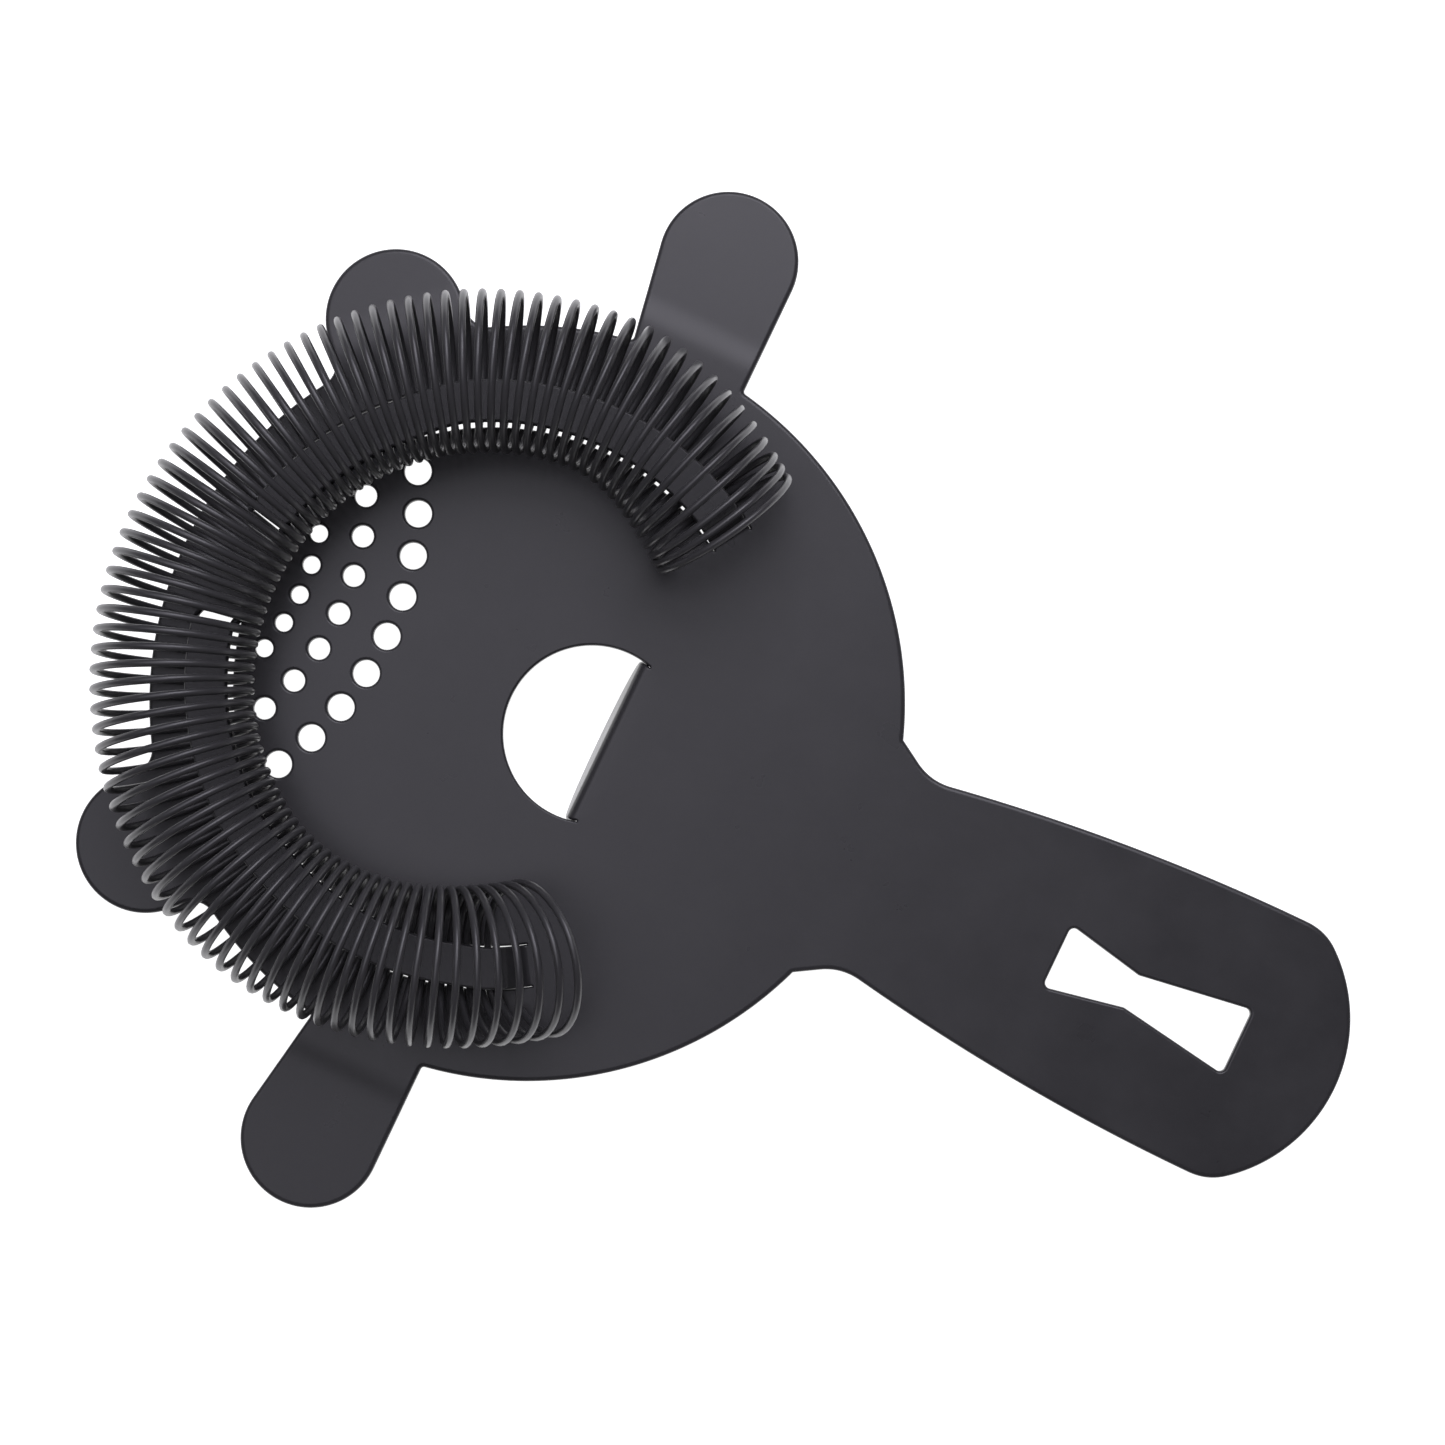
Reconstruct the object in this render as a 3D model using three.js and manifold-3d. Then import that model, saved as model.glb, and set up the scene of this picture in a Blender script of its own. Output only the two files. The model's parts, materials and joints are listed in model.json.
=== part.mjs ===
// Hawthorne strainer: one pressed sheet-steel plate and the coil spring threaded on its two rails.
// Millimetres. The plate is drawn about the centre of its disc: +X runs along the handle, +Y across
// it, and +Z to the spring side, with the plate's spring face at Z = 0. The finished group is moved
// so that its origin is the bottom centre of its bounding box, which the thumb flap's tip touches.
import * as THREE from "three";
import { mergeVertices } from "three/addons/utils/BufferGeometryUtils.js";
import Module from "manifold-3d";

const wasm = await Module();
wasm.setup();

const DEGREE = Math.PI / 180;

// Plate
const SHEET = 1.2;
const DISC_RADIUS = 45;
const PRONG_TIP_RADIUS = 8.35;
const SIDE_PRONG = { x: -1.07, y: 57.9, corner: 0.45, lean: 1 * DEGREE, frontLean: 8.8 * DEGREE };
const FRONT_PRONG = { x: -33.9, y: 34.6, corner: 2.8, lean: 0, frontLean: 0 };

// Handle: a short slanted neck, sides that swell to the shoulder, and a round end
const HANDLE = {
  rimY: 15.3,
  neck: { x: 47.3, y: 12.3, corner: 2.6 },
  side: [
    { x: 63.9, y: 15.1 },
    { x: 79.4, y: 16.55 },
    { x: 95, y: 16.5 },
  ],
  endCentre: 87.2,
  endRadius: 19.3,
  endAngle: 51 * DEGREE,
};
const HANGING_SLOT = {
  front: { x: 69.9, y: 4.05 },
  waist: { x: 79.7, y: 2.1 },
  back: { x: 93.65, y: 4.2 },
  corner: 1,
};

// Thumb flap: a D cut out of the disc and folded away from the spring
const THUMB = {
  x: 8.5,
  radius: 10.55,
  foldX: 10, // the flap's face at the top of the hole
  innerBend: 0.1,
  fold: 84 * DEGREE, // short of square, so that the flap leans in under the hole
};

// Strainer holes: arcs about one centre ahead of the disc
const HOLE_ARC_X = -57.6;
const HOLE_ARCS = [
  { radius: 39.1, count: 9, pitch: 7.4 * DEGREE, hole: 1.6 },
  { radius: 32.8, count: 7, pitch: 8.43 * DEGREE, hole: 1.3 },
  { radius: 27.6, count: 5, pitch: 7.95 * DEGREE, hole: 1.05 },
];

// Rails: two tongues lanced out of the disc and raised to the spring side, one each side of X
const RAIL = {
  x: -4.55,
  inner: 30.95,
  outer: 35.95,
  kerf: 0.1,
  rise: 4.5,
  root: 57 * DEGREE,
  ramp: 6.5 * DEGREE,
  tip: 167.5 * DEGREE,
  slotEnd: 170.5 * DEGREE,
};

// Spring: a right-handed coil round an open ring. The foot of each turn is the wire between rail
// and plate, and its crown is half a turn on. The coil's inner side bears on the rails' inner edges.
const SPRING = {
  x: -6.5, // where the planes of the turns meet
  ring: 36.25, // the middle of the coil, about the rails' centre
  coil: 9.05, // to the middle of the wire
  wire: 0.9,
  clearance: 0.3,
  start: 53.74 * DEGREE,
  pitch: 2.9242 * DEGREE,
  waves: [0.6 * DEGREE, -0.9 * DEGREE, 0.9 * DEGREE, 0.6 * DEGREE], // uneven spacing, by half waves
  turns: 88,
  firstTurn: 0.12,
  lastTurn: 87.9,
};

// What the rails' roots do to the spring's ends: each is [how far, over how many turns it fades]
const FIRST_END = { pull: [3, 13], lean: [2.2, 7.5], twist: [0.8, 5], squeeze: [0.8, 3] };
const LAST_END = { pull: [3.9, 24], lean: [-5.2, 11], twist: [0, 1], squeeze: [-0.8, 3] };

// Fineness of the facets
const CURVE_SEGMENTS = 8;
const RAIL_STEPS = 26;
const BEND_STEPS = 6;
const SEGMENTS_PER_TURN = 12;
const WIRE_SIDES = 4;
const ROOT_OVERLAP = 2 * DEGREE; // how far a rail's solid reaches back into the disc
const RAIL_CROWDING = 1.7; // crowds the steps towards the ramp
const FLAP_REACH = 0.998; // keeps the flap's last ring from closing to a point

const STEEL = { color: 0x333336, roughness: 0.55, metalness: 0.4 };
const WIRE = { color: 0x3a3a3d, roughness: 0.4, metalness: 0.5 };

const smoothStep = (x) => THREE.MathUtils.smoothstep(x, 0, 1);

function solidOf(geometry) {
  const bare = geometry.clone();
  bare.deleteAttribute("normal");
  bare.deleteAttribute("uv");
  const merged = mergeVertices(bare, 1e-4);
  return new wasm.Manifold(
    new wasm.Mesh({
      numProp: 3,
      vertProperties: new Float32Array(merged.attributes.position.array),
      triVerts: new Uint32Array(merged.index.array),
    }),
  );
}

function geometryOf(solid) {
  const mesh = solid.getMesh();
  const geometry = new THREE.BufferGeometry();
  geometry.setAttribute("position", new THREE.BufferAttribute(mesh.vertProperties, 3));
  geometry.setIndex(new THREE.BufferAttribute(mesh.triVerts, 1));
  return geometry;
}

// The sheet under a flat outline: its spring face is at Z = 0.
function sheet(shape) {
  const options = { depth: SHEET, bevelEnabled: false, curveSegments: CURVE_SEGMENTS };
  return new THREE.ExtrudeGeometry(shape, options).translate(0, 0, -SHEET);
}

// A closed solid through a row of matching rings, with a flat cap at both ends. Each ring turns
// anticlockwise when it is seen from the row's far end.
function lofted(rings) {
  const sides = rings[0].length;
  const index = [];
  for (let row = 0; row + 1 < rings.length; row++) {
    for (let side = 0; side < sides; side++) {
      const a = row * sides + side;
      const b = row * sides + ((side + 1) % sides);
      index.push(a, b, a + sides);
      index.push(b, b + sides, a + sides);
    }
  }
  const last = (rings.length - 1) * sides;
  for (let side = 1; side + 1 < sides; side++) {
    index.push(0, side + 1, side);
    index.push(last, last + side, last + side + 1);
  }
  const points = rings.flat().flatMap((point) => point.toArray());
  const geometry = new THREE.BufferGeometry();
  geometry.setAttribute("position", new THREE.Float32BufferAttribute(points, 3));
  geometry.setIndex(index);
  return geometry;
}

// The arc that rounds the corner between the disc's rim and a straight edge that leaves it. The
// edge passes through `point` along `along`, and `outward` is its normal on the open side.
function rimCorner(point, along, outward, radius) {
  const offset = point.dot(outward) + radius;
  const reach = Math.sqrt((DISC_RADIUS + radius) ** 2 - offset ** 2);
  const centre = outward.clone().multiplyScalar(offset).addScaledVector(along, reach);
  return { centre, rim: centre.angle() + Math.PI, edge: outward.angle() + Math.PI };
}

// Adds the rim from `rimFrom` round to a prong, then the prong, to an outline that runs
// anticlockwise: corner, edge, round tip, edge, corner. The leans turn its two edges out from the
// line through the disc's centre. Returns the angle at which the rim goes on.
function addProng(outline, prong, rimFrom) {
  const tip = new THREE.Vector2(prong.x, prong.y);
  const edgeAt = (angle, side) => {
    const along = new THREE.Vector2(Math.cos(angle), Math.sin(angle));
    const outward = new THREE.Vector2(-side * along.y, side * along.x);
    const touch = tip.clone().addScaledVector(outward, PRONG_TIP_RADIUS);
    return { outward, ...rimCorner(touch, along, outward, prong.corner) };
  };
  const near = edgeAt(tip.angle() - prong.lean, -1);
  const far = edgeAt(tip.angle() + prong.frontLean, 1);
  outline.absarc(0, 0, DISC_RADIUS, rimFrom, near.centre.angle(), false);
  outline.absarc(near.centre.x, near.centre.y, prong.corner, near.rim, near.edge, true);
  outline.absarc(tip.x, tip.y, PRONG_TIP_RADIUS, near.outward.angle(), far.outward.angle(), false);
  outline.absarc(far.centre.x, far.centre.y, prong.corner, far.edge, far.rim, true);
  return far.centre.angle();
}

// The side of the handle: from its round end over the shoulder, along the swell and down the neck
// to the rim. Returns the angle at which it meets the rim.
function addHandle(outline) {
  const { rimY, neck, side, endCentre, endRadius, endAngle } = HANDLE;
  const corner = new THREE.Vector2(neck.x, neck.y);
  const [swell, belly, shoulder] = side.map(({ x, y }) => new THREE.Vector2(x, y));
  const rim = new THREE.Vector2(Math.sqrt(DISC_RADIUS ** 2 - rimY ** 2), rimY);
  const sideEnd = corner.clone().add(swell.clone().sub(corner).setLength(neck.corner));
  const neckStart = corner.clone().add(rim.clone().sub(corner).setLength(neck.corner));
  const endX = endCentre + endRadius * Math.cos(endAngle);
  const endY = endRadius * Math.sin(endAngle);
  const shoulderCorner = endX - (shoulder.y - endY) * Math.tan(endAngle);
  outline.absarc(endCentre, 0, endRadius, 0, endAngle, false);
  outline.quadraticCurveTo(shoulderCorner, shoulder.y, shoulder.x, shoulder.y);
  outline.bezierCurveTo(belly.x, belly.y, swell.x, swell.y, sideEnd.x, sideEnd.y);
  outline.quadraticCurveTo(corner.x, corner.y, neckStart.x, neckStart.y);
  return rim.angle();
}

// The whole outline: half of it runs from the handle's end to the disc's front, then it is mirrored.
function plateOutline() {
  const half = new THREE.Path();
  const handleAngle = addHandle(half);
  const sideAngle = addProng(half, SIDE_PRONG, handleAngle);
  const frontAngle = addProng(half, FRONT_PRONG, sideAngle);
  half.absarc(0, 0, DISC_RADIUS, frontAngle, Math.PI, false);
  const upper = half.getPoints(CURVE_SEGMENTS);
  const lower = upper.slice(1, -1).reverse().map((point) => new THREE.Vector2(point.x, -point.y));
  return new THREE.Shape([...upper, ...lower]);
}

function strainerHoles() {
  const holes = [];
  for (const { radius, count, pitch, hole } of HOLE_ARCS) {
    for (let i = 0; i < count; i++) {
      const angle = (i - (count - 1) / 2) * pitch;
      const path = new THREE.Path();
      path.absarc(HOLE_ARC_X + radius * Math.cos(angle), radius * Math.sin(angle), hole, 0, 2 * Math.PI);
      holes.push(path);
    }
  }
  return holes;
}

function hangingSlot() {
  const { front, waist, back, corner } = HANGING_SLOT;
  const upper = [back, waist, front];
  const lower = [front, waist, back].map(({ x, y }) => ({ x, y: -y }));
  const points = [...upper, ...lower].map(({ x, y }) => new THREE.Vector2(x, y));
  const slot = new THREE.Path();
  points.forEach((point, i) => {
    const previous = points.at(i - 1);
    const next = points[(i + 1) % points.length];
    const before = point.clone().add(previous.clone().sub(point).setLength(corner));
    const after = point.clone().add(next.clone().sub(point).setLength(corner));
    if (i === 0) slot.moveTo(before.x, before.y);
    else slot.lineTo(before.x, before.y);
    slot.quadraticCurveTo(point.x, point.y, after.x, after.y);
  });
  slot.closePath();
  return slot;
}

// The D that the flap leaves behind, up to the line where its bend starts.
function thumbHole() {
  const bendX = THUMB.foldX + THUMB.innerBend + SHEET;
  const angle = Math.acos((bendX - THUMB.x) / THUMB.radius);
  const hole = new THREE.Path();
  hole.absarc(THUMB.x, 0, THUMB.radius, angle, 2 * Math.PI - angle, false);
  hole.closePath();
  return hole;
}

// The opening that one rail is lanced from.
function railOpening(side) {
  const inner = RAIL.inner - RAIL.kerf;
  const outer = RAIL.outer + RAIL.kerf;
  const opening = new THREE.Path();
  opening.absarc(RAIL.x, 0, outer, side * RAIL.root, side * RAIL.slotEnd, side < 0);
  opening.absarc(RAIL.x, 0, inner, side * RAIL.slotEnd, side * RAIL.root, side > 0);
  opening.closePath();
  return opening;
}

// The flap: straight from the bend to its round edge, as wide at each height as the D it came from.
function thumbFlap() {
  const bendRadius = THUMB.innerBend + SHEET / 2;
  const bendX = THUMB.foldX + THUMB.innerBend + SHEET;
  const bendLength = bendRadius * THUMB.fold;
  const flapLength = bendX - (THUMB.x - THUMB.radius) - bendLength;
  const steps = BEND_STEPS + 2 * CURVE_SEGMENTS;
  const rings = [];
  for (let i = 0; i <= steps; i++) {
    const flatPart = Math.max(0, i - BEND_STEPS) / (2 * CURVE_SEGMENTS);
    const turn = THUMB.fold * Math.min(1, i / BEND_STEPS);
    const straight = flapLength * FLAP_REACH * Math.sin((flatPart * Math.PI) / 2);
    const flatX = bendX - bendRadius * turn - straight - THUMB.x;
    const halfWidth = Math.sqrt(THUMB.radius ** 2 - flatX ** 2);
    const along = new THREE.Vector3(-Math.cos(turn), 0, -Math.sin(turn));
    const facing = new THREE.Vector3(-Math.sin(turn), 0, Math.cos(turn));
    const centre = new THREE.Vector3(bendX, 0, -SHEET - THUMB.innerBend)
      .addScaledVector(facing, bendRadius)
      .addScaledVector(along, straight);
    const corner = (faceSide, widthSide) => centre.clone()
      .addScaledVector(facing, (faceSide * SHEET) / 2)
      .add(new THREE.Vector3(0, widthSide * halfWidth, 0));
    rings.push([corner(-1, 1), corner(-1, -1), corner(1, -1), corner(1, 1)]);
  }
  return lofted(rings);
}

// One rail: level with the disc at its root, then up the ramp and round to its free tip.
function rail(side) {
  const middle = (RAIL.inner + RAIL.outer) / 2;
  const halfWidth = (RAIL.outer - RAIL.inner) / 2;
  const rings = [];
  for (let i = 0; i <= RAIL_STEPS; i++) {
    const start = RAIL.root - ROOT_OVERLAP;
    const angle = start + (RAIL.tip - start) * (i / RAIL_STEPS) ** RAIL_CROWDING;
    const climb = THREE.MathUtils.clamp((angle - RAIL.root) / RAIL.ramp, 0, 1);
    const slope = (RAIL.rise * 6 * climb * (1 - climb)) / (RAIL.ramp * middle);
    const level = 1 / Math.hypot(1, slope);
    const place = (lateral, thickness) => {
      const turn = angle - (slope * level * thickness) / middle;
      const radius = middle + lateral;
      const z = RAIL.rise * smoothStep(climb) - SHEET / 2 + level * thickness;
      return new THREE.Vector3(
        RAIL.x + radius * Math.cos(turn), side * radius * Math.sin(turn), z,
      );
    };
    const ring = [
      place(-halfWidth, -SHEET / 2),
      place(-halfWidth, SHEET / 2),
      place(halfWidth, SHEET / 2),
      place(halfWidth, -SHEET / 2),
    ];
    rings.push(side > 0 ? ring : ring.reverse());
  }
  return lofted(rings);
}

function strainerPlate() {
  const outline = plateOutline();
  outline.holes.push(...strainerHoles(), hangingSlot(), thumbHole(), railOpening(1), railOpening(-1));
  const pieces = [thumbFlap(), rail(1), rail(-1)].map(solidOf);
  const plate = pieces.reduce((whole, piece) => whole.add(piece), solidOf(sheet(outline)));
  return new THREE.Mesh(geometryOf(plate), new THREE.MeshStandardMaterial(STEEL));
}

// The middle of the coil, `turn` turns from the first foot, with the ways outward and onward there.
function coilAxis(turn) {
  const { x, ring, coil, wire, clearance, start, pitch, waves, turns } = SPRING;
  const halfWaves = (turn / turns) * Math.PI;
  const uneven = waves.reduce((sum, wave, i) => sum + wave * Math.sin((i + 1) * halfWaves), 0);
  const angle = start + pitch * turn + uneven;
  const outward = new THREE.Vector3(Math.cos(angle), Math.sin(angle), 0);
  const onward = new THREE.Vector3(-outward.y, outward.x, 0);
  const radius = ring + (RAIL.x - x) * outward.x - nearEnds("pull", turn);
  const middle = new THREE.Vector3(x, 0, clearance + wire / 2 + coil).addScaledVector(outward, radius);
  return { middle, outward, onward };
}

function nearEnds(effect, turn) {
  const [first, firstTurns] = FIRST_END[effect];
  const [last, lastTurns] = LAST_END[effect];
  const fromLast = SPRING.turns - turn;
  return first * smoothStep(1 - turn / firstTurns) + last * smoothStep(1 - fromLast / lastTurns);
}

// A point of the wire's centre line.
function wirePoint(turn) {
  const { middle, outward, onward } = coilAxis(turn);
  const cos = Math.cos(turn * 2 * Math.PI);
  const sin = Math.sin(turn * 2 * Math.PI);
  return middle
    .addScaledVector(outward, -SPRING.coil * sin)
    .addScaledVector(onward, nearEnds("squeeze", turn))
    .addScaledVector(onward, nearEnds("lean", turn) * cos - nearEnds("twist", turn) * sin)
    .addScaledVector(new THREE.Vector3(0, 0, 1), -SPRING.coil * cos);
}

function coilSpring() {
  const { firstTurn, lastTurn, wire } = SPRING;
  const steps = Math.round((lastTurn - firstTurn) * SEGMENTS_PER_TURN);
  const nudge = 0.1 / SEGMENTS_PER_TURN;
  const rings = [];
  for (let i = 0; i <= steps; i++) {
    const turn = firstTurn + ((lastTurn - firstTurn) * i) / steps;
    const centre = wirePoint(turn);
    const tangent = wirePoint(turn + nudge).sub(wirePoint(turn - nudge)).normalize();
    const outward = centre.clone().sub(coilAxis(turn).middle);
    outward.addScaledVector(tangent, -outward.dot(tangent)).normalize();
    const sideways = tangent.clone().cross(outward);
    const ring = [];
    for (let side = 0; side < WIRE_SIDES; side++) {
      const angle = ((side + 0.5) / WIRE_SIDES) * 2 * Math.PI;
      ring.push(
        centre.clone()
          .addScaledVector(outward, (wire / 2) * Math.cos(angle))
          .addScaledVector(sideways, (wire / 2) * Math.sin(angle)),
      );
    }
    rings.push(ring);
  }
  return new THREE.Mesh(lofted(rings), new THREE.MeshStandardMaterial(WIRE));
}

const strainer = new THREE.Group();
const plate = strainerPlate();
plate.name = "strainer_plate";
const spring = coilSpring();
spring.name = "coil_spring";
strainer.add(plate, spring);

const box = new THREE.Box3().setFromObject(strainer);
const centre = box.getCenter(new THREE.Vector3());
strainer.position.set(-centre.x, -centre.y, -box.min.z);

export default strainer;
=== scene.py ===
"""Hawthorne strainer in matte black steel, lying with its spring up: looks, light and camera.

Metres. The plate is worked out as a flat pattern about the centre of its disc, with +X along the
handle, +Y across it and +Z to the spring side, then folded and set down where the frame has it.
"""

import json
import math

import bpy
import numpy as np
from mathutils import Matrix, Vector
from mathutils.geometry import delaunay_2d_cdt


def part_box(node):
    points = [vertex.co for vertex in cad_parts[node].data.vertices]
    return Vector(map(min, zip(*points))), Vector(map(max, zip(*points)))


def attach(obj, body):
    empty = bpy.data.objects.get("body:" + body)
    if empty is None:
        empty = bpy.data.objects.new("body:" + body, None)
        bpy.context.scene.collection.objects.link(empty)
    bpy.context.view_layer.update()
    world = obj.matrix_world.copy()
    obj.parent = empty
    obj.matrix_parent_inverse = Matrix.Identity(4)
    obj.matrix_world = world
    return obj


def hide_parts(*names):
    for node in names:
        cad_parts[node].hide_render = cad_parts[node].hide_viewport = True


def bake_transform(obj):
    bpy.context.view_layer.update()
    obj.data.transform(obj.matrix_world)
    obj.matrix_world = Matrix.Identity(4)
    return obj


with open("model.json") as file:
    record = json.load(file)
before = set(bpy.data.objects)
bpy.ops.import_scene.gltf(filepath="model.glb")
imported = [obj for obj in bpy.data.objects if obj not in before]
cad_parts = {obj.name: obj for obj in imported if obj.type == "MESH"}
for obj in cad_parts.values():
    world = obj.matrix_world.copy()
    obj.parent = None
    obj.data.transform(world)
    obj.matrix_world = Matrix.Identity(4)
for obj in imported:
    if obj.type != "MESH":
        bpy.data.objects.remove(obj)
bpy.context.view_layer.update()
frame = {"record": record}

MM = 0.001
DEGREE = math.pi / 180

# Plate
SHEET = 1.2 * MM
DISC_RADIUS = 45 * MM
PRONG_TIP_RADIUS = 8.35 * MM
SIDE_PRONG = {"tip": (-1.07 * MM, 57.9 * MM), "corner": 0.45 * MM, "leans": (1 * DEGREE, 8.8 * DEGREE)}
FRONT_PRONG = {"tip": (-33.9 * MM, 34.6 * MM), "corner": 2.8 * MM, "leans": (0, 0)}
PRONG_BAND = (46 * MM, 51 * MM)
PRONG_SLOPE = 2 * DEGREE
PRONG_STEP_SLOPE = 5 * DEGREE

# Edges: how far in the rounding starts, and how far down it goes on each face
OUTER_EDGE = 0.6 * MM
HOLE_EDGE = 0.4 * MM
SLIT_EDGE = 0.3 * MM
FACE_DROP = 0.4 * MM
BACK_DROP = 0.2 * MM
CUT_CORNER = 0.45  # the radius of a narrow cut's corners, as a share of its width

# Handle
HANDLE_RIM_Y = 15.3 * MM
NECK = (47.3 * MM, 12.3 * MM)
NECK_CORNER = 2.6 * MM
SWELL = (63.9 * MM, 15.1 * MM)
BELLY = (79.4 * MM, 16.55 * MM)
SHOULDER = (95 * MM, 16.5 * MM)
HANDLE_END_X = 87.2 * MM
HANDLE_END_RADIUS = 19.3 * MM
HANDLE_END_ANGLE = 51 * DEGREE
SLOT_CORNERS = ((93.65 * MM, 4.2 * MM), (79.7 * MM, 2.1 * MM), (69.9 * MM, 4.05 * MM))
SLOT_CORNER_RADIUS = 0.7 * MM

# Thumb flap
THUMB_X = 8.5 * MM
THUMB_RADIUS = 10.55 * MM
THUMB_KERF = 0.06 * MM
FOLD_FACE_X = 10 * MM
FOLD_INNER = 0.1 * MM
FOLD = 84 * DEGREE

# Strainer holes
HOLE_ARC_X = -57.6 * MM
HOLE_ARCS = (
    {"radius": 39.1 * MM, "count": 9, "pitch": 7.4 * DEGREE, "hole": 1.6 * MM},
    {"radius": 32.8 * MM, "count": 7, "pitch": 8.43 * DEGREE, "hole": 1.3 * MM},
    {"radius": 27.6 * MM, "count": 5, "pitch": 7.95 * DEGREE, "hole": 1.05 * MM},
)

# Rails
RAIL_X = -4.55 * MM
RAIL_INNER = 30.95 * MM
RAIL_OUTER = 35.95 * MM
RAIL_KERF = 0.04 * MM
RAIL_CORNER = 0.8 * MM
RAIL_RISE = 4.5 * MM
RAIL_ROOT = 57 * DEGREE
RAIL_SLOT_END = 170.5 * DEGREE
RAIL_BENDS = (  # the left rail's front and the right rail's back are bent a little inwards
    {"side": 1, "inwards": 0.75 * MM, "starts": 122 * DEGREE, "full": 138 * DEGREE},
    {"side": -1, "inwards": 0.3 * MM, "starts": 130 * DEGREE, "full": 118 * DEGREE},
)
RAMP_BEND = 1.2 * MM
RAMP_ANGLE = 62 * DEGREE
RAMP_FLAT = 0.877  # the ramp's share of its length in the flat: the metal draws out as it rises

# Spring: its ends differ from an even coil by an amount that fades over a number of turns
SPRING_X = -6.5 * MM
SPRING_Y = -0.3 * MM
SPRING_RING = 36.25 * MM
COIL = 9.05 * MM
WIRE_RADIUS = 0.45 * MM
SPRING_CLEARANCE = 0.3 * MM
SPRING_START = 52.64 * DEGREE
SPRING_PITCH = 2.9174 * DEGREE
SPACING_WAVES = (0.6 * DEGREE, -0.9 * DEGREE, 0.9 * DEGREE, 0.6 * DEGREE)
TURNS = 88
FIRST_TURN = 0.12
LAST_TURN = 87.9
FIRST_END = {"pull": (3 * MM, 13), "lean": (2.2 * MM, 7.5), "twist": (0.8 * MM, 5), "squeeze": (1.5 * MM, 3)}
LAST_END = {"pull": (3.9 * MM, 24), "lean": (-5.2 * MM, 11), "twist": (0, 1), "squeeze": (0.27 * MM, 3)}

# Coats: base colours where its clouds are dark and light, roughness, specular level and grain
COATS = {
    "coated_steel": {
        "dark": (0.038, 0.037, 0.040), "light": (0.050, 0.049, 0.052),
        "rough": 0.3, "specular": 0.4, "grain": 0.25,
    },
    "spring_wire": {
        "dark": (0.046, 0.045, 0.048), "light": (0.056, 0.055, 0.058),
        "rough": 0.32, "specular": 0.6, "grain": 0.15,
    },
}
CLOUD_SIZE = 9 * MM
CLOUD_SHARE = 0.7
GRAIN_SIZE = 0.12 * MM
GRAIN_DEPTH = 0.01 * MM
ROUGH_SPREAD = 0.03

# Floor, light and the room round them
FLOOR_HALF = 6
FLOOR_COLOUR = (0.8, 0.8, 0.8, 1)
FLOOR_GLOW = 1.0
ROOM_GLOW = 0.06  # what the dim room gives to the object
BACKDROP_GLOW = 0.9  # what the camera sees of it past the floor
LIGHT_COLOUR = (1, 0.98, 1.1)
LIGHT_DISTANCE = 1
LIGHTS = (
    {"name": "overhead", "direction": (-0.3, 0.04, 1), "size": 0.8, "power": 2.4},
    {"name": "back", "direction": (-0.1, 0.7, 1), "size": 0.6, "power": 4.2},
)

# Camera: it looks straight down
HANDLE_TURN = 25.5 * DEGREE  # how far the handle points down to the right in the picture
CAMERA_HEIGHT = 400 * MM
VIEW_WIDTH = 171.84 * MM
VIEW_CENTRE = (21.98 * MM, 7.92 * MM)
EYE_SHIFT = (11.5 * MM, -16 * MM)  # how far it stands from the view's centre, which a lens shift keeps

# Fineness
OUTLINE_STEP = 0.3 * MM
EDGE_STEPS = 4
GRID_STEP = 2.5 * MM
BEND_STEP = 0.25 * MM
STEPS_PER_TURN = 40
WIRE_SIDES = 12
END_STEPS = 3

# Places in the frame
plate_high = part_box("strainer_plate")[1]
DISC_X = plate_high[0] - (HANDLE_END_X + HANDLE_END_RADIUS)
FACE_Z = frame["record"]["mounts"][0]["pos_m"][2]
PLACE = np.array((DISC_X, 0, FACE_Z))


def smooth_step(value):
    """Rises softly from 0 to 1 as the value does."""
    t = np.clip(value, 0, 1)
    return t * t * (3 - 2 * t)


# Outlines: each is an (n, 2) array of points


def unit(angle):
    return np.array((math.cos(angle), math.sin(angle)))


def angle_of(vector):
    return math.atan2(vector[1], vector[0])


def line(start, end):
    start = np.array(start, float)
    end = np.array(end, float)
    count = max(1, math.ceil(np.linalg.norm(end - start) / OUTLINE_STEP))
    return start + (end - start) * np.linspace(0, 1, count + 1)[:, None]


def arc(centre, radius, start, end):
    count = max(6, math.ceil(abs(end - start) * radius / OUTLINE_STEP))
    angles = np.linspace(start, end, count + 1)
    return np.array(centre) + radius * np.column_stack((np.cos(angles), np.sin(angles)))


def bezier(*points):
    points = np.array(points, float)
    degree = len(points) - 1
    length = np.linalg.norm(np.diff(points, axis=0), axis=1).sum()
    t = np.linspace(0, 1, max(6, math.ceil(length / OUTLINE_STEP)) + 1)[:, None]
    shares = [math.comb(degree, i) * t**i * (1 - t) ** (degree - i) for i in range(degree + 1)]
    return sum(share * point for share, point in zip(shares, points))


def joined(stretches):
    """One row of points through the stretches, without repeated points."""
    points = np.concatenate(stretches)
    gaps = np.linalg.norm(points - np.roll(points, 1, axis=0), axis=1)
    return points[gaps > 1e-4 * MM]


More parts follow.
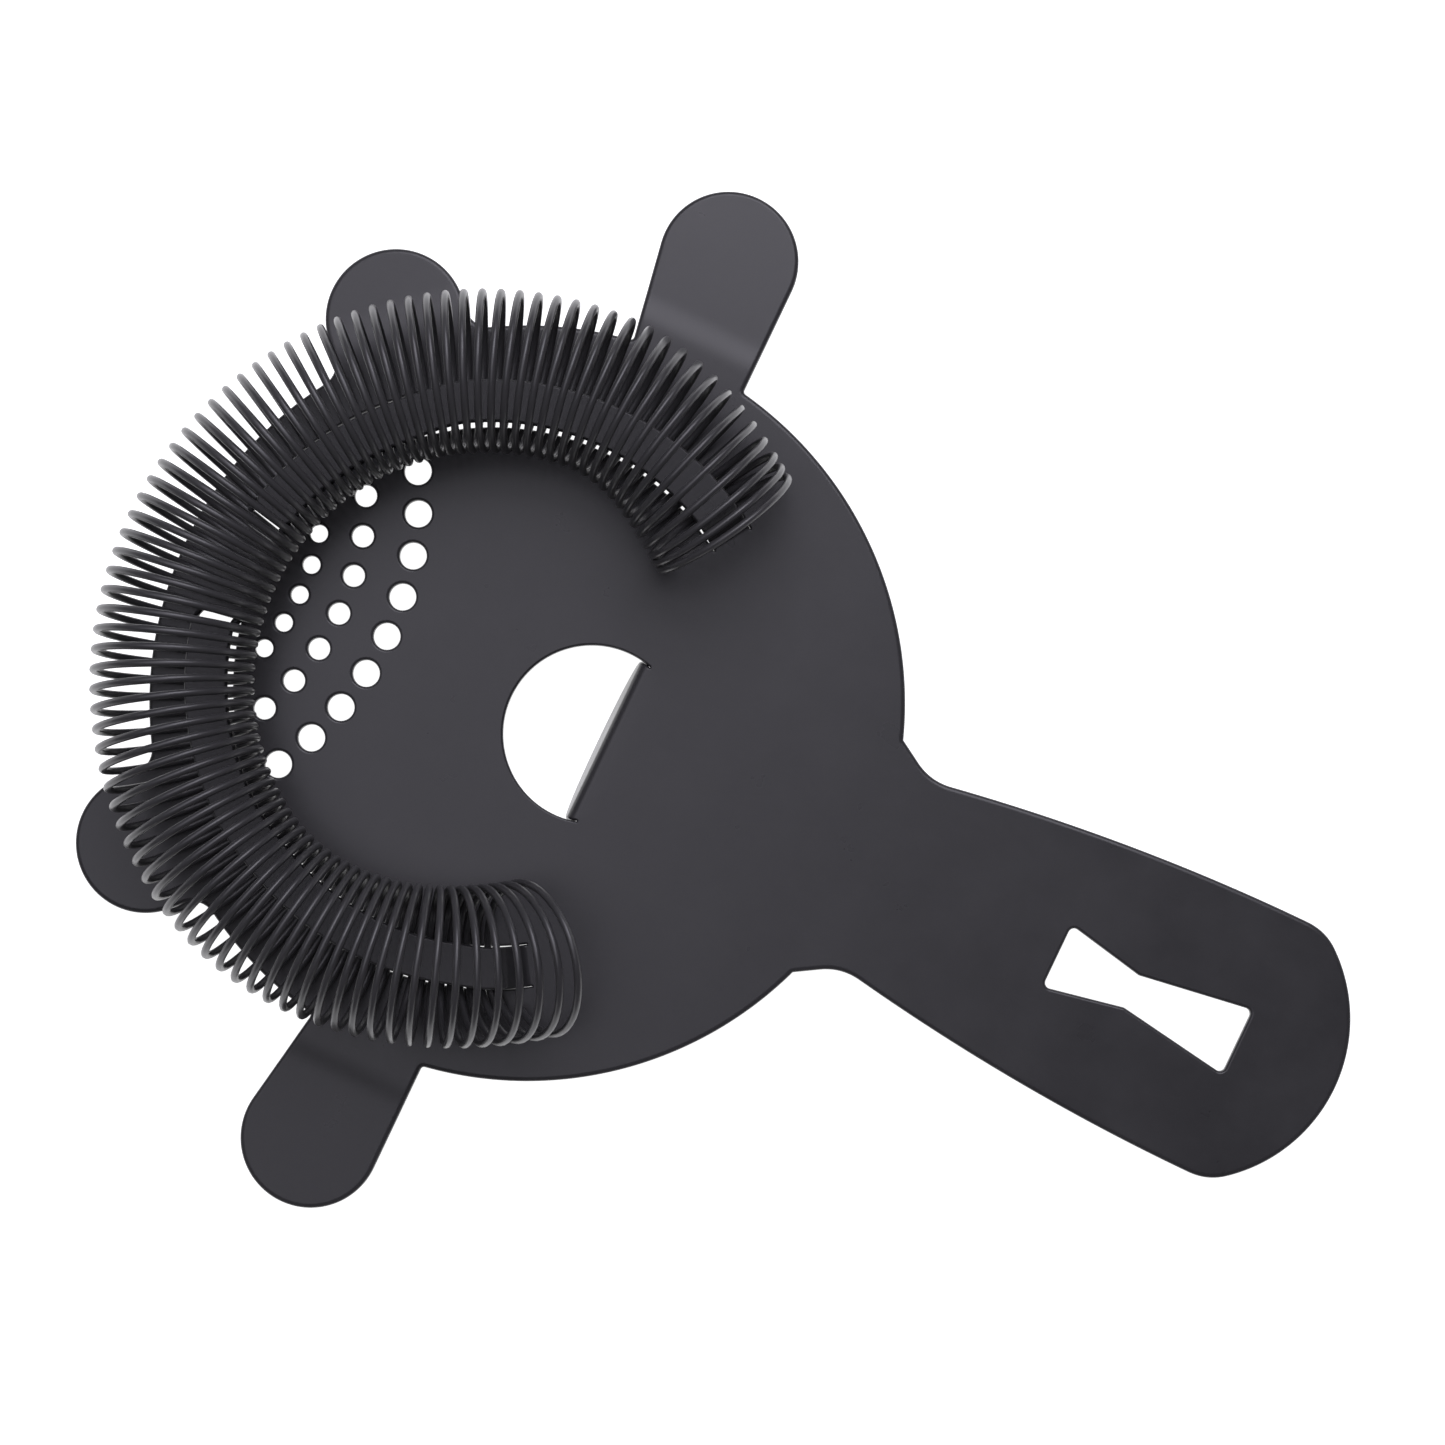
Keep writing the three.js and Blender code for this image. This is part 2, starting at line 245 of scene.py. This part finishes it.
def rounded_polygon(corners):
    """A closed outline through (x, y, radius) corners, each rounded by an arc."""
    stretches = []
    for i, (x, y, radius) in enumerate(corners):
        point = np.array((x, y))
        to_last = np.array(corners[i - 1][:2]) - point
        to_next = np.array(corners[(i + 1) % len(corners)][:2]) - point
        to_last /= np.linalg.norm(to_last)
        to_next /= np.linalg.norm(to_next)
        half = math.acos(to_last @ to_next) / 2
        middle = (to_last + to_next) / np.linalg.norm(to_last + to_next)
        centre = point + middle * radius / math.sin(half)
        cut = radius / math.tan(half)
        begin = angle_of(point + to_last * cut - centre)
        sweep = angle_of(point + to_next * cut - centre) - begin
        sweep = (sweep + math.pi) % (2 * math.pi) - math.pi
        corner = arc(centre, radius, begin, begin + sweep)
        if stretches:
            stretches.append(line(stretches[-1][-1], corner[0]))
        stretches.append(corner)
    stretches.append(line(stretches[-1][-1], stretches[0][0]))
    return joined(stretches)


def wrapped(points, centre_x, radius):
    """Points given as (length along an arc, distance from its centre), set out round that centre."""
    angle = points[:, 0] / radius
    return np.column_stack((centre_x + points[:, 1] * np.cos(angle), points[:, 1] * np.sin(angle)))


def prong(spec, rim_from):
    """The rim from rim_from round to a prong, then the prong. The leans turn its edges outwards."""
    tip = np.array(spec["tip"])
    edges = []
    for side, lean in zip((-1, 1), spec["leans"]):
        along = unit(angle_of(tip) + side * lean)
        outward = side * np.array((-along[1], along[0]))
        offset = tip @ outward + PRONG_TIP_RADIUS + spec["corner"]
        reach = math.sqrt((DISC_RADIUS + spec["corner"]) ** 2 - offset**2)
        edges.append((outward * offset + along * reach, angle_of(outward)))
    (near, near_out), (far, far_out) = edges
    near_rim = angle_of(near)
    far_rim = angle_of(far)
    tip_round = arc(tip, PRONG_TIP_RADIUS, near_out, near_out + (far_out - near_out) % (2 * math.pi))
    near_turn = (near_rim - near_out) % (2 * math.pi)
    far_turn = (far_out - far_rim) % (2 * math.pi)
    near_corner = arc(near, spec["corner"], near_rim + math.pi, near_rim + math.pi - near_turn)
    far_corner = arc(far, spec["corner"], far_rim + math.pi + far_turn, far_rim + math.pi)
    return [
        arc((0, 0), DISC_RADIUS, rim_from, near_rim),
        near_corner,
        line(near_corner[-1], tip_round[0]),
        tip_round,
        line(tip_round[-1], far_corner[0]),
        far_corner,
    ]


def handle_side():
    """Half of the handle, from the middle of its round end to the rim."""
    end = np.array((HANDLE_END_X, 0)) + unit(HANDLE_END_ANGLE) * HANDLE_END_RADIUS
    shoulder_x = end[0] - (SHOULDER[1] - end[1]) * math.tan(HANDLE_END_ANGLE)
    rim = np.array((math.sqrt(DISC_RADIUS**2 - HANDLE_RIM_Y**2), HANDLE_RIM_Y))
    neck = np.array(NECK)
    to_swell = np.array(SWELL) - neck
    to_rim = rim - neck
    side_end = neck + to_swell / np.linalg.norm(to_swell) * NECK_CORNER
    neck_start = neck + to_rim / np.linalg.norm(to_rim) * NECK_CORNER
    return [
        arc((HANDLE_END_X, 0), HANDLE_END_RADIUS, 0, HANDLE_END_ANGLE),
        bezier(end, (shoulder_x, SHOULDER[1]), SHOULDER),
        bezier(SHOULDER, BELLY, SWELL, side_end),
        bezier(side_end, neck, neck_start),
        line(neck_start, rim),
    ]


def outer_outline():
    """The whole outline, anticlockwise: half of it, then its mirror image."""
    stretches = handle_side()
    for spec in (SIDE_PRONG, FRONT_PRONG):
        stretches += prong(spec, angle_of(stretches[-1][-1]))
    stretches.append(arc((0, 0), DISC_RADIUS, angle_of(stretches[-1][-1]), math.pi))
    upper = joined(stretches)
    return np.concatenate((upper[:-1], upper[:0:-1] * (1, -1)))


def strainer_holes():
    holes = []
    for row in HOLE_ARCS:
        for i in range(row["count"]):
            angle = (i - (row["count"] - 1) / 2) * row["pitch"]
            centre = np.array((HOLE_ARC_X, 0)) + row["radius"] * unit(angle)
            holes.append(arc(centre, row["hole"], 0, 2 * math.pi)[:-1])
    return holes


def hanging_slot():
    upper = [(x, y, SLOT_CORNER_RADIUS) for x, y in SLOT_CORNERS]
    lower = [(x, -y, radius) for x, y, radius in reversed(upper)]
    return rounded_polygon(upper + lower)


BEND_X = FOLD_FACE_X + FOLD_INNER + SHEET
FOLD_RADIUS = FOLD_INNER + SHEET / 2
FOLD_LENGTH = FOLD_RADIUS * FOLD


def thumb_slit():
    """The C-shaped cut round the flap."""
    end = math.acos((BEND_X + THUMB_KERF - THUMB_X) / THUMB_RADIUS)
    first = end * THUMB_RADIUS
    last = (2 * math.pi - end) * THUMB_RADIUS
    corner = THUMB_KERF * CUT_CORNER
    inner = THUMB_RADIUS - THUMB_KERF
    corners = (
        (first, THUMB_RADIUS, corner),
        (last, THUMB_RADIUS, corner),
        (last, inner, corner),
        (first, inner, corner),
    )
    return wrapped(rounded_polygon(corners), THUMB_X, THUMB_RADIUS)


RAIL_MIDDLE = (RAIL_INNER + RAIL_OUTER) / 2


def rail_slit(side):
    """The cut that frees one rail: down both its sides and across its tip."""
    root = RAIL_ROOT * RAIL_MIDDLE
    end = RAIL_SLOT_END * RAIL_MIDDLE
    tip = end - RAIL_KERF
    corner = RAIL_KERF * CUT_CORNER
    corners = (
        (root, RAIL_OUTER + RAIL_KERF, corner),
        (end, RAIL_OUTER + RAIL_KERF, RAIL_CORNER),
        (end, RAIL_INNER - RAIL_KERF, RAIL_CORNER),
        (root, RAIL_INNER - RAIL_KERF, corner),
        (root, RAIL_INNER, corner),
        (tip, RAIL_INNER, RAIL_CORNER),
        (tip, RAIL_OUTER, RAIL_CORNER),
        (root, RAIL_OUTER, corner),
    )
    return wrapped(rounded_polygon(corners), RAIL_X, RAIL_MIDDLE) * (1, side)


def turned(outline, anticlockwise):
    x, y = outline.T
    area = x @ np.roll(y, -1) - y @ np.roll(x, -1)
    return outline if (area > 0) == anticlockwise else outline[::-1]


def open_side(outline):
    """Unit normals of an outline, to its right, where the sheet isn't."""
    before = outline - np.roll(outline, 1, axis=0)
    after = np.roll(outline, -1, axis=0) - outline
    along = before / np.linalg.norm(before, axis=1)[:, None] + after / np.linalg.norm(after, axis=1)[:, None]
    along /= np.linalg.norm(along, axis=1)[:, None]
    return np.column_stack((along[:, 1], -along[:, 0]))


# Bends: from the flat sheet's points and normals to the formed sheet's


def fold_flap(flat, points, normals):
    """Folds the flap down about the bend line, away from the spring."""
    inside = np.hypot(flat[:, 0] - THUMB_X, flat[:, 1]) < THUMB_RADIUS - THUMB_KERF / 2
    moved = (inside & (flat[:, 0] < BEND_X))[:, None]
    reach = BEND_X - flat[:, 0]
    turn = np.clip(reach / FOLD_RADIUS, 0, FOLD)
    straight = np.maximum(reach - FOLD_LENGTH, 0)
    radius = FOLD_RADIUS + SHEET / 2 + points[:, 2]
    cos, sin = np.cos(turn), np.sin(turn)
    folded = np.column_stack((
        BEND_X - radius * sin - straight * cos,
        flat[:, 1],
        -SHEET - FOLD_INNER + radius * cos - straight * sin,
    ))
    bent = np.column_stack((
        normals[:, 0] * cos - normals[:, 2] * sin,
        normals[:, 1],
        normals[:, 0] * sin + normals[:, 2] * cos,
    ))
    return np.where(moved, folded, points), np.where(moved, bent, normals)


def ramp_path():
    """Flat length along the middle of a rail's ramp, and the run, rise and slope there."""
    straight_rise = RAIL_RISE - 2 * RAMP_BEND * (1 - math.cos(RAMP_ANGLE))
    length = np.linspace(0, 2 * RAMP_BEND * RAMP_ANGLE + straight_rise / math.sin(RAMP_ANGLE), 200)
    slope = np.clip(np.minimum(length, length[-1] - length) / RAMP_BEND, 0, RAMP_ANGLE)
    middle = (slope[1:] + slope[:-1]) / 2
    run = np.concatenate(((0,), np.cumsum(np.cos(middle) * np.diff(length))))
    rise = np.concatenate(((0,), np.cumsum(np.sin(middle) * np.diff(length))))
    return length * RAMP_FLAT, run, rise * RAIL_RISE / rise[-1], slope


RAMP = ramp_path()
RAMP_LENGTH = RAMP[0][-1]


def lift_rails(flat, points, normals):
    """Lifts both rails up their ramps to the spring side, and gives them their bends inwards."""
    radius = np.hypot(flat[:, 0] - RAIL_X, flat[:, 1])
    side = np.sign(flat[:, 1])
    angle = np.abs(np.arctan2(flat[:, 1], flat[:, 0] - RAIL_X))
    half_kerf = RAIL_KERF / 2
    moved = (radius > RAIL_INNER - half_kerf) & (radius < RAIL_OUTER + half_kerf)
    moved &= (angle > RAIL_ROOT) & (angle < RAIL_SLOT_END - half_kerf / RAIL_MIDDLE)
    moved = moved[:, None]
    length, run, rise, slope = RAMP
    reach = (angle - RAIL_ROOT) * RAIL_MIDDLE
    tilt = np.interp(reach, length, slope)
    height = points[:, 2] + SHEET / 2
    along = np.interp(reach, length, run) + np.maximum(reach - RAMP_LENGTH, 0) - np.sin(tilt) * height
    new_angle = side * (RAIL_ROOT + along / RAIL_MIDDLE)
    off_ramp = smooth_step(reach / RAMP_LENGTH - 1)
    for bend in RAIL_BENDS:
        bent = smooth_step((angle - bend["starts"]) / (bend["full"] - bend["starts"]))
        radius = radius - bend["inwards"] * bent * off_ramp * (side == bend["side"])
    lifted = np.column_stack((
        RAIL_X + radius * np.cos(new_angle),
        radius * np.sin(new_angle),
        np.interp(reach, length, rise) - SHEET / 2 + np.cos(tilt) * height,
    ))
    old_angle = side * angle
    outward = normals[:, 0] * np.cos(old_angle) + normals[:, 1] * np.sin(old_angle)
    forward = side * (normals[:, 1] * np.cos(old_angle) - normals[:, 0] * np.sin(old_angle))
    level = side * (forward * np.cos(tilt) - normals[:, 2] * np.sin(tilt))
    raised = np.column_stack((
        outward * np.cos(new_angle) - level * np.sin(new_angle),
        outward * np.sin(new_angle) + level * np.cos(new_angle),
        forward * np.sin(tilt) + normals[:, 2] * np.cos(tilt),
    ))
    return np.where(moved, lifted, points), np.where(moved, raised, normals)


def set_back(direction, flat, points, normals):
    """Sets the prong in that direction back from the spring: a soft step, then a slight slope."""
    reach = flat @ direction
    across = np.abs(flat @ (-direction[1], direction[0]))
    band = PRONG_BAND[1] - PRONG_BAND[0]
    t = np.clip((reach - PRONG_BAND[0]) / band, 0, 1)
    t[across > 2 * PRONG_TIP_RADIUS] = 0
    beyond = np.where(t == 1, reach - PRONG_BAND[1], 0)
    slope = PRONG_SLOPE * smooth_step(t) + PRONG_STEP_SLOPE * np.sin(math.pi * t) ** 2
    fall = PRONG_SLOPE * (t**3 - t**4 / 2)
    fall += PRONG_STEP_SLOPE * (t / 2 - np.sin(2 * math.pi * t) / (4 * math.pi))
    points = points - np.outer(fall * band + PRONG_SLOPE * beyond, (0, 0, 1))
    cos, sin = np.cos(slope), np.sin(slope)
    out = normals[:, :2] @ direction
    bent = normals.copy()
    bent[:, :2] += np.outer(out * (cos - 1) + normals[:, 2] * sin, direction)
    bent[:, 2] = normals[:, 2] * cos - out * sin
    return points, bent


def formed(flat, height, normals):
    """The sheet's points and normals after every bend, set down in the frame."""
    points = np.column_stack((flat, height))
    points, normals = fold_flap(flat, points, normals)
    points, normals = lift_rails(flat, points, normals)
    for side in (1, -1):
        for direction in (math.pi / 2, angle_of(FRONT_PRONG["tip"])):
            points, normals = set_back(unit(side * direction), flat, points, normals)
    return points + PLACE, normals


# Plate mesh


def inside_sheet(points, outlines):
    """Which points lie inside an odd number of the outlines."""
    inside = np.zeros(len(points), bool)
    x, y = points.T[:, :, None]
    for outline in outlines:
        x0, y0 = outline.T
        x1, y1 = np.roll(outline, -1, axis=0).T
        rise = np.where(y1 == y0, 1, y1 - y0)
        for part in np.array_split(np.arange(len(points)), 1 + len(points) // 2000):
            crosses = (y0 > y[part]) != (y1 > y[part])
            at = x0 + (y[part] - y0) * (x1 - x0) / rise
            inside[part] ^= np.count_nonzero(crosses & (at > x[part]), axis=1) % 2 == 1
    return inside


def even_grid(low, high, step):
    x, y = (np.arange(a, b + step / 2, step) for a, b in zip(low, high))
    return np.array(np.meshgrid(x, y)).reshape(2, -1).T


def apart(points, others, gap):
    """The points that are at least a gap away from every one of the others."""
    parts = np.array_split(points, 1 + len(points) // 500)
    nearest = [np.linalg.norm(part[:, None] - others, axis=2).min(axis=1) for part in parts]
    return points[np.concatenate(nearest) > gap]


def inner_points(outlines):
    """Points between the outlines: close together in the bends, an even grid elsewhere."""
    fold = even_grid((BEND_X - FOLD_LENGTH, -THUMB_RADIUS), (BEND_X, THUMB_RADIUS), BEND_STEP)
    ramp = even_grid((-BEND_STEP, RAIL_INNER), (RAMP_LENGTH + BEND_STEP, RAIL_OUTER), BEND_STEP)
    ramp = wrapped(ramp + (RAIL_ROOT * RAIL_MIDDLE, 0), RAIL_X, RAIL_MIDDLE)
    step = even_grid((PRONG_BAND[0], -PRONG_TIP_RADIUS), (PRONG_BAND[1], PRONG_TIP_RADIUS), 2 * BEND_STEP)
    bends = [fold, ramp, ramp * (1, -1)]
    for spec in (SIDE_PRONG, FRONT_PRONG):
        x, y = unit(angle_of(spec["tip"]))
        turned_step = step @ np.array(((x, y), (-y, x)))
        bends += [turned_step, turned_step * (1, -1)]
    edges = np.concatenate(outlines)
    fine = apart(np.concatenate(bends), edges, BEND_STEP / 2)
    grid = even_grid(outlines[0].min(axis=0), outlines[0].max(axis=0), GRID_STEP)
    grid = apart(grid, np.concatenate((edges, fine)), GRID_STEP / 2)
    points = np.concatenate((fine, grid))
    return points[inside_sheet(points, outlines)]


def triangulated(outlines):
    """Points and triangles of the sheet between the outlines, whose own points come first."""
    edges = []
    start = 0
    for outline in outlines:
        count = len(outline)
        edges += [(start + i, start + (i + 1) % count) for i in range(count)]
        start += count
    points = np.concatenate((*outlines, inner_points(outlines)))
    made = delaunay_2d_cdt([Vector(point) for point in points / MM], edges, [], 1, 1e-6)
    if len(made[0]) != len(points):
        raise ValueError("two outlines of the plate touch")
    triangles = np.array(made[2])
    return points, triangles[inside_sheet(points[triangles].mean(axis=1), outlines)]


def edge_rings(outline, inset):
    """(points, height, normals) of rings round an outline, from the spring face to the back face."""
    open_to = open_side(outline)
    rings = []
    for base, drop, start in ((0, FACE_DROP, 0), (-SHEET, BACK_DROP, math.pi / 2)):
        for angle in start + np.linspace(0, math.pi / 2, EDGE_STEPS + 1):
            out, up = math.sin(angle), math.cos(angle)
            height = base + drop * (up - 1 if up >= 0 and base == 0 else up + 1)
            normals = np.column_stack((open_to * out / inset, np.full(len(outline), up / drop)))
            normals /= np.linalg.norm(normals, axis=1)[:, None]
            rings.append((outline - open_to * inset * (1 - out), np.full(len(outline), height), normals))
    return rings


def plate_mesh():
    """The pressed sheet: two faces, rounded edges between them, and every bend."""
    outlines = [(outer_outline(), OUTER_EDGE)]
    outlines += [(hole, HOLE_EDGE) for hole in (*strainer_holes(), hanging_slot())]
    outlines += [(slit, SLIT_EDGE) for slit in (thumb_slit(), rail_slit(1), rail_slit(-1))]
    bands = [edge_rings(turned(outline, i == 0), inset) for i, (outline, inset) in enumerate(outlines)]
    flat, triangles = triangulated([rings[0][0] for rings in bands])
    count = len(flat)
    up = np.tile((0.0, 0.0, 1.0), (count, 1))
    parts = [(flat, np.zeros(count), up), (flat, np.full(count, -SHEET), -up)]
    faces = [*triangles.tolist(), *(triangles[:, ::-1] + count).tolist()]
    first = 0
    total = 2 * count
    for rings in bands:
        around = np.arange(len(rings[0][0]))
        rows = [first + around]
        for ring in rings[1:-1]:
            parts.append(ring)
            rows.append(total + around)
            total += len(around)
        rows.append(count + first + around)
        first += len(around)
        for upper, lower in zip(rows, rows[1:]):
            quads = (upper, lower, np.roll(lower, -1), np.roll(upper, -1))
            faces += np.column_stack(quads).tolist()
    points, normals = formed(*(np.concatenate(column) for column in zip(*parts)))
    return mesh_object("strainer_plate_sheet", points, faces, normals)


def mesh_object(name, points, faces, normals):
    mesh = bpy.data.meshes.new(name)
    mesh.from_pydata(points.tolist(), [], faces)
    if mesh.validate():
        raise ValueError(name + " has a bad face")
    mesh.polygons.foreach_set("use_smooth", np.ones(len(faces), bool))
    mesh.normals_split_custom_set_from_vertices(normals.tolist())
    made = bpy.data.objects.new(name, mesh)
    bpy.context.scene.collection.objects.link(made)
    return made


# Spring mesh


def near_ends(effect, turn):
    """How much of an effect the spring's two ends have at those turns: it fades over some turns."""
    first, first_turns = FIRST_END[effect]
    last, last_turns = LAST_END[effect]
    from_last = TURNS - turn
    return first * smooth_step(1 - turn / first_turns) + last * smooth_step(1 - from_last / last_turns)


def coil_axis(turn):
    """The middle of the coil at those turns, and the ways outward and onward there."""
    half_waves = turn / TURNS * math.pi
    uneven = sum(wave * np.sin((i + 1) * half_waves) for i, wave in enumerate(SPACING_WAVES))
    angle = SPRING_START + SPRING_PITCH * turn + uneven
    outward = np.column_stack((np.cos(angle), np.sin(angle), np.zeros(len(turn))))
    onward = np.column_stack((-np.sin(angle), np.cos(angle), np.zeros(len(turn))))
    radius = SPRING_RING + (RAIL_X - SPRING_X) * np.cos(angle) - near_ends("pull", turn)
    middle = outward * radius[:, None] + (SPRING_X, SPRING_Y, SPRING_CLEARANCE + WIRE_RADIUS + COIL)
    return middle, outward, onward


def wire_line(turn):
    """Points of the wire's centre line."""
    middle, outward, onward = coil_axis(turn)
    cos = np.cos(2 * math.pi * turn)[:, None]
    sin = np.sin(2 * math.pi * turn)[:, None]
    lean = near_ends("lean", turn)[:, None]
    twist = near_ends("twist", turn)[:, None]
    shift = near_ends("squeeze", turn)[:, None] + lean * cos - twist * sin
    return middle - outward * COIL * sin + onward * shift - COIL * cos * (0, 0, 1)


def unit_rows(vectors):
    return vectors / np.linalg.norm(vectors, axis=1)[:, None]


def spring_mesh():
    """The wire swept round its centre line, with both cut ends rounded."""
    turns = np.linspace(FIRST_TURN, LAST_TURN, round((LAST_TURN - FIRST_TURN) * STEPS_PER_TURN) + 1)
    centres = wire_line(turns)
    nudge = 0.1 / STEPS_PER_TURN
    along = unit_rows(wire_line(turns + nudge) - wire_line(turns - nudge))
    outward = centres - coil_axis(turns)[0]
    outward = unit_rows(outward - along * np.sum(outward * along, axis=1)[:, None])
    sideways = np.cross(along, outward)
    end_angles = np.linspace(0, math.pi / 2, END_STEPS + 1)[:0:-1]
    first_end = [(0, -math.sin(a), math.cos(a)) for a in end_angles]
    last_end = [(-1, math.sin(a), math.cos(a)) for a in end_angles[::-1]]
    rings = [*first_end, *((i, 0.0, 1.0) for i in range(len(turns))), *last_end]
    index, beyond, share = (np.array(column) for column in zip(*rings))
    index = index.astype(int)
    around = np.arange(WIRE_SIDES) * 2 * math.pi / WIRE_SIDES
    spokes = (
        outward[index, None] * np.cos(around)[:, None] + sideways[index, None] * np.sin(around)[:, None]
    )
    normals = spokes * share[:, None, None] + (along[index] * beyond[:, None])[:, None]
    points = (centres[index][:, None] + normals * WIRE_RADIUS + PLACE).reshape(-1, 3)
    here = np.arange(len(points)).reshape(-1, WIRE_SIDES)
    side = np.roll(here, -1, axis=1)
    quads = np.stack((here[:-1], side[:-1], side[1:], here[1:]), axis=2).reshape(-1, 4).tolist()
    caps = [here[0][::-1].tolist(), here[-1].tolist()]
    return mesh_object("coil_spring_wire", points, quads + caps, normals.reshape(-1, 3))


# Materials


def node(tree, kind, settings=None, **inputs):
    """A node with its sockets set: a tuple of (node, output name) makes a link."""
    made = tree.nodes.new(kind)
    for name, value in (settings or {}).items():
        setattr(made, name, value)
    for name, value in inputs.items():
        socket = made.inputs[name.replace("_", " ")]
        if isinstance(value, tuple) and isinstance(value[0], bpy.types.Node):
            tree.links.new(value[0].outputs[value[1]], socket)
        else:
            socket.default_value = value
    return made


def noise(tree, size, detail):
    """Noise about as coarse as the given size, in metres."""
    place = node(tree, "ShaderNodeTexCoord")
    return node(
        tree, "ShaderNodeTexNoise", Vector=(place, "Object"), Scale=1 / size, Detail=detail, Roughness=0.6
    )


def span(tree, source, low, high):
    """A texture's middle range spread over low to high."""
    return node(
        tree, "ShaderNodeMapRange", Value=(source, "Fac"),
        From_Min=0.3, From_Max=0.7, To_Min=low, To_Max=high,
    )


def coated_metal(name):
    """A matte black coat: slight clouds in its colour, a fine grain, and gloss that varies a little."""
    coat = COATS[name]
    material = bpy.data.materials.new(name)
    material.use_nodes = True
    tree = material.node_tree
    tree.nodes.clear()
    clouds = noise(tree, CLOUD_SIZE, 4)
    speckle = noise(tree, GRAIN_SIZE, 2)
    colour = node(tree, "ShaderNodeMix", {"data_type": "RGBA"})
    mix = node(tree, "ShaderNodeMath", {"operation": "ADD"})
    tree.links.new(span(tree, clouds, 0, CLOUD_SHARE).outputs[0], mix.inputs[0])
    tree.links.new(span(tree, speckle, 0, 1 - CLOUD_SHARE).outputs[0], mix.inputs[1])
    tree.links.new(mix.outputs[0], colour.inputs[0])
    colour.inputs["A"].default_value = (*coat["dark"], 1)
    colour.inputs["B"].default_value = (*coat["light"], 1)
    bump = node(
        tree, "ShaderNodeBump",
        Height=(speckle, "Fac"), Strength=coat["grain"], Distance=GRAIN_DEPTH,
    )
    least_rough = coat["rough"] - ROUGH_SPREAD
    most_rough = coat["rough"] + ROUGH_SPREAD
    shader = node(
        tree, "ShaderNodeBsdfPrincipled",
        Base_Color=(colour, "Result"),
        Roughness=(span(tree, clouds, least_rough, most_rough), "Result"),
        Normal=(bump, "Normal"),
    )
    shader.inputs["Specular IOR Level"].default_value = coat["specular"]
    output = node(tree, "ShaderNodeOutputMaterial")
    tree.links.new(shader.outputs[0], output.inputs[0])
    return material


def white_floor():
    """A pale board that glows like a light table, so that it has no dark shadow."""
    material = bpy.data.materials.new("white_floor")
    material.use_nodes = True
    shader = material.node_tree.nodes["Principled BSDF"]
    shader.inputs["Base Color"].default_value = FLOOR_COLOUR
    shader.inputs["Roughness"].default_value = 0.9
    shader.inputs["Emission Color"].default_value = (1, 1, 1, 1)
    shader.inputs["Emission Strength"].default_value = FLOOR_GLOW
    return material


# Pieces

plate = plate_mesh()
plate.data.materials.append(coated_metal("coated_steel"))
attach(plate, "plate")
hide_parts("strainer_plate")

spring = spring_mesh()
spring.data.materials.append(coated_metal("spring_wire"))
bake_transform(spring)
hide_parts("coil_spring")

floor_mesh = bpy.data.meshes.new("floor")
floor_corners = [(x, y, 0) for x, y in ((-1, -1), (1, -1), (1, 1), (-1, 1))]
floor_mesh.from_pydata([Vector(corner) * FLOOR_HALF for corner in floor_corners], [], [(0, 1, 2, 3)])
floor_mesh.materials.append(white_floor())
floor = bpy.data.objects.new("floor", floor_mesh)
bpy.context.scene.collection.objects.link(floor)


# Light


def area_light(spec):
    """A soft square light that shines at the disc from its direction."""
    light = bpy.data.lights.new(spec["name"], "AREA")
    light.size = spec["size"]
    light.energy = spec["power"]
    light.color = LIGHT_COLOUR
    lamp = bpy.data.objects.new(spec["name"], light)
    towards = Vector(spec["direction"]).normalized()
    lamp.location = Vector(PLACE) + towards * LIGHT_DISTANCE
    lamp.rotation_euler = towards.to_track_quat("Z", "Y").to_euler()
    bpy.context.scene.collection.objects.link(lamp)


def white_room():
    """A dim room for the object, with a bright wall that only the camera sees."""
    world = bpy.data.worlds.new("white_room")
    world.use_nodes = True
    tree = world.node_tree
    background = tree.nodes["Background"]
    background.inputs["Color"].default_value = (1, 1, 1, 1)
    seen = node(tree, "ShaderNodeLightPath")
    glow = node(
        tree, "ShaderNodeMapRange", Value=(seen, "Is Camera Ray"),
        To_Min=ROOM_GLOW, To_Max=BACKDROP_GLOW,
    )
    tree.links.new(glow.outputs[0], background.inputs["Strength"])
    return world


bpy.context.scene.world = white_room()
for spec in LIGHTS:
    area_light(spec)

# Camera

image_right = Vector((math.cos(HANDLE_TURN), math.sin(HANDLE_TURN), 0))
image_up = Vector((-math.sin(HANDLE_TURN), math.cos(HANDLE_TURN), 0))
camera_data = bpy.data.cameras.new("camera")
camera_data.lens = camera_data.sensor_width * CAMERA_HEIGHT / VIEW_WIDTH
camera = bpy.data.objects.new("camera", camera_data)
eye_shift = Vector((*EYE_SHIFT, 0))
camera_data.shift_x = -eye_shift.dot(image_right) / VIEW_WIDTH
camera_data.shift_y = -eye_shift.dot(image_up) / VIEW_WIDTH
spot = Vector(PLACE) + Vector((*VIEW_CENTRE, CAMERA_HEIGHT)) + eye_shift
axes = Matrix((image_right, image_up, (0, 0, 1))).transposed()
camera.matrix_world = Matrix.Translation(spot) @ axes.to_4x4()
bpy.context.scene.collection.objects.link(camera)
bpy.context.scene.camera = camera
bpy.context.scene.view_settings.view_transform = "Standard"
